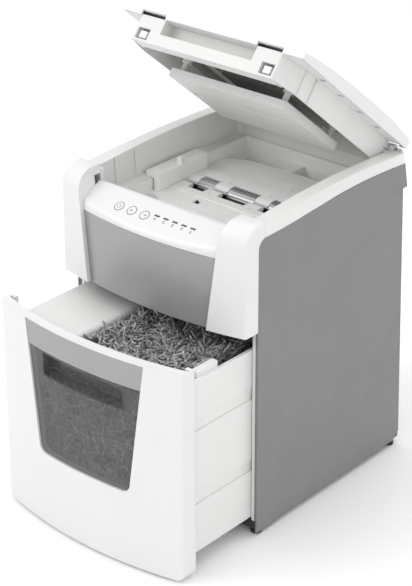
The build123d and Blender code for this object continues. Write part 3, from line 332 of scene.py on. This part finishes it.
def buildShreds():
    rand = random.Random(shreds["seed"])
    templates = [shredTemplate(rand) for _ in range(shreds["templates"])]
    pile = bmesh.new()
    spots = []
    for _ in range(shreds["count"]):
        x = rand.uniform(shreds["left"] + 4, shreds["right"])
        y = rand.uniform(shreds["front"], shreds["back"] * 0.2 if rand.random() < 0.8 else shreds["back"])
        z = moundHeight(x, y) + rand.uniform(-5, 7)
        shade = rand.choices((0, 1, 2), (6, 2.2, 2))[0]
        direction = rand.uniform(0, math.tau)
        if x > shreds["right"] - shreds["wallGap"] or x < shreds["left"] + 18:
            direction = math.pi / 2 + rand.gauss(0, 0.16)
        spots.append((place(x, y, z), direction, rand.gauss(0, 0.3), shade))
    for _ in range(shreds["edgeCount"]):
        x = rand.uniform(shreds["left"] + 10, shreds["left"] + 26)
        y = rand.uniform(shreds["front"] + 6, 60)
        z = rand.uniform(294, 301)
        spots.append((place(x, y, z), rand.uniform(0, math.tau), rand.gauss(0, 0.22), rand.choice((0, 0, 1))))
    scatterShreds(rand, templates, spots, pile)
    walls = []
    for _ in range(shreds["windowCount"]):
        x = rand.uniform(*shreds["window"]["x"])
        z = rand.uniform(*shreds["window"]["z"])
        y = rand.uniform(*shreds["window"]["y"])
        if abs(x) < shreds["pocket"]["halfWidth"] and z > shreds["pocket"]["bottom"]:
            y += shreds["pocket"]["depth"]
        spot = place(x, y, z)
        walls.append((spot, rand.uniform(0, math.tau), rand.choices((0, 1, 2), (5, 3, 2))[0]))
    for spot, spin, shade in walls:
        template = rand.choice(templates)
        stand = Matrix.Rotation(math.pi / 2, 4, "X") @ Matrix.Rotation(spin, 4, "Z")
        move = Matrix.Translation(spot) @ stand
        layStrip(pile, template, move @ Matrix.Rotation(rand.uniform(-0.25, 0.25), 4, "Y"), shade)
    for mesh in templates:
        bpy.data.meshes.remove(mesh)
    return pile


def buildMound():
    heap = bmesh.new()
    wide, deep = mound["right"] - mound["left"], mound["back"] - mound["front"]
    bmesh.ops.create_grid(heap, x_segments=40, y_segments=56, size=0.5)
    for vert in heap.verts:
        x = (mound["left"] + mound["right"]) / 2 + vert.co.x * wide
        y = (mound["front"] + mound["back"]) / 2 + vert.co.y * deep
        vert.co = place(x, y, moundHeight(x, y) - mound["sink"])
    walls = bmesh.ops.extrude_face_region(heap, geom=list(heap.faces))
    for item in walls["geom"]:
        if isinstance(item, bmesh.types.BMVert):
            item.co.z = mound["floor"] / 1000
    return heap


shredFinishes = ("paper", "paperPale", "paperDeep")
shredPile = addPiece("paperShreds", buildShreds(), shredFinishes, "drawer", smooth=True)
# the mound is coloured with the darker paper as painted shade for the depths of the heap
moundPiece = addPiece("paperMound", buildMound(), "paperDeep", "drawer")
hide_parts("shredded_paper")
print("shreds:", len(shredPile.data.polygons), "faces")


# control panel marks: thin rings and plain signs on the keys, small signs under the light bars
keyMarks = {
    "keys": {"power_button": -66.0, "reverse_button": -42.0, "forward_button": -18.0},
    "keyY": -18.0, "ring": 7.6, "ringWide": 0.7, "lift": 0.12,
    "lightXs": [1.0, 17.5, 34.0, 50.5, 67.0], "lightY": -13.0, "signDrop": 5.2, "signSize": 1.6,
    "slope": 28.4, "topY": 6.0, "topZ": 470.0,
}


def onSlope(x, y):    # frame of the sloping panel at a place: across, up the slope, outwards
    slope = math.radians(keyMarks["slope"])
    z = keyMarks["topZ"] - (keyMarks["topY"] - y) * math.tan(slope)
    return Matrix.Translation(place(x, y, z)) @ Matrix.Rotation(slope, 4, "X") @ Matrix.Scale(0.001, 4)


def addRing(shape, outer, wide, high, start=0, sweep=math.tau, segments=48):
    profile = [shape.verts.new((outer - wide, 0, 0)), shape.verts.new((outer, 0, 0)),
               shape.verts.new((outer, 0, high)), shape.verts.new((outer - wide, 0, high))]
    face = shape.faces.new(profile)
    full = sweep >= math.tau - 1e-6
    bmesh.ops.rotate(shape, verts=profile, cent=(0, 0, 0), matrix=Matrix.Rotation(start, 3, "Z"))
    if full:
        edges = list(face.edges)
        bmesh.ops.delete(shape, geom=[face], context="FACES_ONLY")
        geom = profile + edges
    else:
        geom = [face]
    bmesh.ops.spin(shape, geom=geom, cent=(0, 0, 0), axis=(0, 0, 1), angle=sweep,
                   steps=segments, use_merge=full)


def addBar(shape, x, y, wide, tall, turn=0.0, high=0.12, base=0.0):
    spot = Matrix.Translation((x, y, base + high / 2)) @ Matrix.Rotation(turn, 4, "Z")
    bmesh.ops.create_cube(shape, size=1, matrix=spot @ Matrix.Diagonal((wide, tall, high, 1)))


def keySign(name, shape):
    if name == "power_button":
        addRing(shape, 3.2, 0.5, 0.12, start=math.radians(125), sweep=math.radians(290), segments=30)
        addBar(shape, 0, 2.4, 0.5, 3.2)
    else:
        way = -1 if name == "reverse_button" else 1
        addBar(shape, 0, 0, 5.2, 0.55)
        for turn in (1, -1):
            addBar(shape, way * 1.75, turn * 0.95, 2.7, 0.55, -way * turn * math.radians(42))


def buildKeyMarks():
    for name, x in keyMarks["keys"].items():
        shape = bmesh.new()
        addRing(shape, keyMarks["ring"], keyMarks["ringWide"], keyMarks["lift"])
        keySign(name, shape)
        bmesh.ops.transform(shape, matrix=onSlope(x, keyMarks["keyY"]), verts=shape.verts)
        bmesh.ops.translate(shape, vec=onSlope(0, 0).to_3x3() @ Vector((0, 0, 0.2)), verts=shape.verts)
        addPiece(name.split("_")[0] + "Mark", shape, "ink", name)


def buildLightSigns():
    shape = bmesh.new()
    for index, x in enumerate(keyMarks["lightXs"]):
        sign = bmesh.new()
        if index == 0:
            addBar(sign, 0, 0.6, 2.6, 0.5)
            addBar(sign, 0, -0.7, 0.6, 2.4)
        elif index == 1:
            addRing(sign, 1.5, 0.4, 0.12, segments=20)
        elif index == 2:
            addBar(sign, 0, 0.9, 2.8, 0.45)
            addBar(sign, 0, -1.1, 2.8, 0.45)
            addBar(sign, 0, -0.1, 0.5, 1.8)
        elif index == 3:
            addBar(sign, 0, -0.2, 0.7, 3.0)
            addBar(sign, 0.7, 0.6, 1.6, 0.45)
        else:
            addBar(sign, -0.3, 0.1, 0.6, 2.4, math.radians(-16))
            addBar(sign, 0.6, -0.9, 1.6, 0.5)
        spot = onSlope(x, keyMarks["lightY"] - keyMarks["signDrop"])
        grow = Matrix.Diagonal((keyMarks["signSize"], keyMarks["signSize"], 1, 1))
        bmesh.ops.transform(sign, matrix=spot @ grow, verts=sign.verts)
        mesh = bpy.data.meshes.new("sign")
        sign.to_mesh(mesh)
        sign.free()
        shape.from_mesh(mesh)
        bpy.data.meshes.remove(mesh)
    addPiece("lightSigns", shape, "ink", "casing")


buildKeyMarks()
buildLightSigns()
print("panel marks ready")


# feed rollers: finely ribbed sleeves on the two feed shafts
sleeves = {
    "spans": [(-92.5, -62.5), (-35, 15), (42.5, 72.5)], "shaftZ": 411.5, "ribs": 24, "ribDepth": 0.3,
    "rows": [("front_feed", 153.5, 10.6), ("rear_feed", 189.5, 14.2)],
}


def buildSleeves(shaftY, radius):
    shape = bmesh.new()
    for left, right in sleeves["spans"]:
        spot = Matrix.Translation(place((left + right) / 2, shaftY, sleeves["shaftZ"]))
        made = bmesh.ops.create_cone(
            shape, cap_ends=True, segments=2 * sleeves["ribs"], radius1=radius / 1000, radius2=radius / 1000,
            depth=(right - left) / 1000, matrix=spot @ Matrix.Rotation(math.pi / 2, 4, "Y"))
        axis = place(0, shaftY, sleeves["shaftZ"])
        for vert in made["verts"]:
            arm = Vector((0, vert.co.y - axis.y, vert.co.z - axis.z))
            step = round(math.atan2(arm.z, arm.y) / (math.pi / sleeves["ribs"]))
            if step % 2:
                vert.co -= arm.normalized() * sleeves["ribDepth"] / 1000
    return shape


for feedBody, shaftY, radius in sleeves["rows"]:
    sleeveName = feedBody.replace("_feed", "Sleeves")
    sleeve = addPiece(sleeveName, buildSleeves(shaftY, radius), "roller", feedBody)
    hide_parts(feedBody + "_rollers")
print("rollers ready")


# tray marks: fine raised outlines of sheets on the tray floor
trayMarks = {"z": 422.02, "high": 0.25, "wide": 0.5}


def buildTrayMarks():
    shape = bmesh.new()
    z, high, wide = trayMarks["z"], trayMarks["high"], trayMarks["wide"]

    def line(x0, y0, x1, y1):
        start, end = place(x0, y0, z), place(x1, y1, z)
        run = end - start
        spot = Matrix.Translation((start + end) / 2) @ Matrix.Rotation(math.atan2(run.y, run.x), 4, "Z")
        size = Matrix.Diagonal((run.length + wide / 1000, wide / 1000, high / 1000, 1))
        bmesh.ops.create_cube(shape, size=1, matrix=spot @ size)

    line(-70, 100, 118, 100)
    for x0, y0, x1, y1 in ((-20, 84, 26, 97), (60, 84, 104, 97)):
        line(x0, y0, x1, y0)
        line(x1, y0, x1, y1)
        line(x1, y1, x0, y1)
        line(x0, y1, x0, y0)
    for path in ([(-110, 263), (-90, 284), (118, 282)], [(-87, 242), (-85, 268), (118, 266)]):
        for start, end in zip(path, path[1:]):
            line(*start, *end)
    addPiece("trayMarks", shape, "light", "casing")


buildTrayMarks()


# floor, light and camera
studio = {
    "floorTone": 252, "floorSize": 14.0, "worldTone": 255, "worldStrength": 0.92,
    "lights": [
        {"name": "keyLight", "at": (-1.9, -2.3, 2.7), "size": 2.4, "power": 32},
        {"name": "topLight", "at": (0.2, 0.4, 2.9), "size": 2.2, "power": 16},
        {"name": "sideLight", "at": (2.6, -1.0, 1.2), "size": 2.0, "power": 6},
    ],
}


def buildStudio():
    shape = bmesh.new()
    bmesh.ops.create_grid(shape, x_segments=2, y_segments=2, size=studio["floorSize"] / 2)
    mesh = bpy.data.meshes.new("floor")
    shape.to_mesh(mesh)
    shape.free()
    floor = bpy.data.objects.new("floor", mesh)
    bpy.context.scene.collection.objects.link(floor)
    material, tree, shader, coords = startMaterial("paleFloor")
    low, high = greyTone(studio["floorTone"] - 1), greyTone(studio["floorTone"])
    tone = rampOf(tree, noiseOf(tree, coords, 2, 2), low, high)
    tree.links.new(tone, shader.inputs["Base Color"])
    shader.inputs["Roughness"].default_value = 0.9
    mesh.materials.append(material)
    world = bpy.data.worlds.new("studio")
    world.use_nodes = True
    background = world.node_tree.nodes["Background"]
    background.inputs["Color"].default_value = greyTone(studio["worldTone"])
    background.inputs["Strength"].default_value = studio["worldStrength"]
    bpy.context.scene.world = world
    bpy.context.scene.view_settings.view_transform = "Standard"
    target = Vector((0, -0.02, 0.3))
    for item in studio["lights"]:
        data = bpy.data.lights.new(item["name"], "AREA")
        data.shape = "DISK"
        data.size = item["size"]
        data.energy = item["power"]
        lamp = bpy.data.objects.new(item["name"], data)
        lamp.location = item["at"]
        lamp.rotation_euler = (target - Vector(item["at"])).to_track_quat("-Z", "Y").to_euler()
        bpy.context.scene.collection.objects.link(lamp)


camera = {
    "azimuth": 41.26, "elevation": 26.59, "roll": -0.25,
    "at": (1.5934, -1.8135, 1.5113), "lens": 114.29,
}


def buildCamera():
    data = bpy.data.cameras.new("viewCamera")
    data.lens = camera["lens"]
    data.sensor_width = 36
    eye = bpy.data.objects.new("viewCamera", data)
    turn = Matrix.Rotation(math.radians(camera["azimuth"]), 4, "Z")
    tilt = Matrix.Rotation(math.radians(90 - camera["elevation"]), 4, "X")
    roll = Matrix.Rotation(math.radians(camera["roll"]), 4, "Z")
    eye.matrix_world = Matrix.Translation(camera["at"]) @ turn @ tilt @ roll
    bpy.context.scene.collection.objects.link(eye)
    bpy.context.scene.camera = eye


buildStudio()
buildCamera()
print("studio ready")
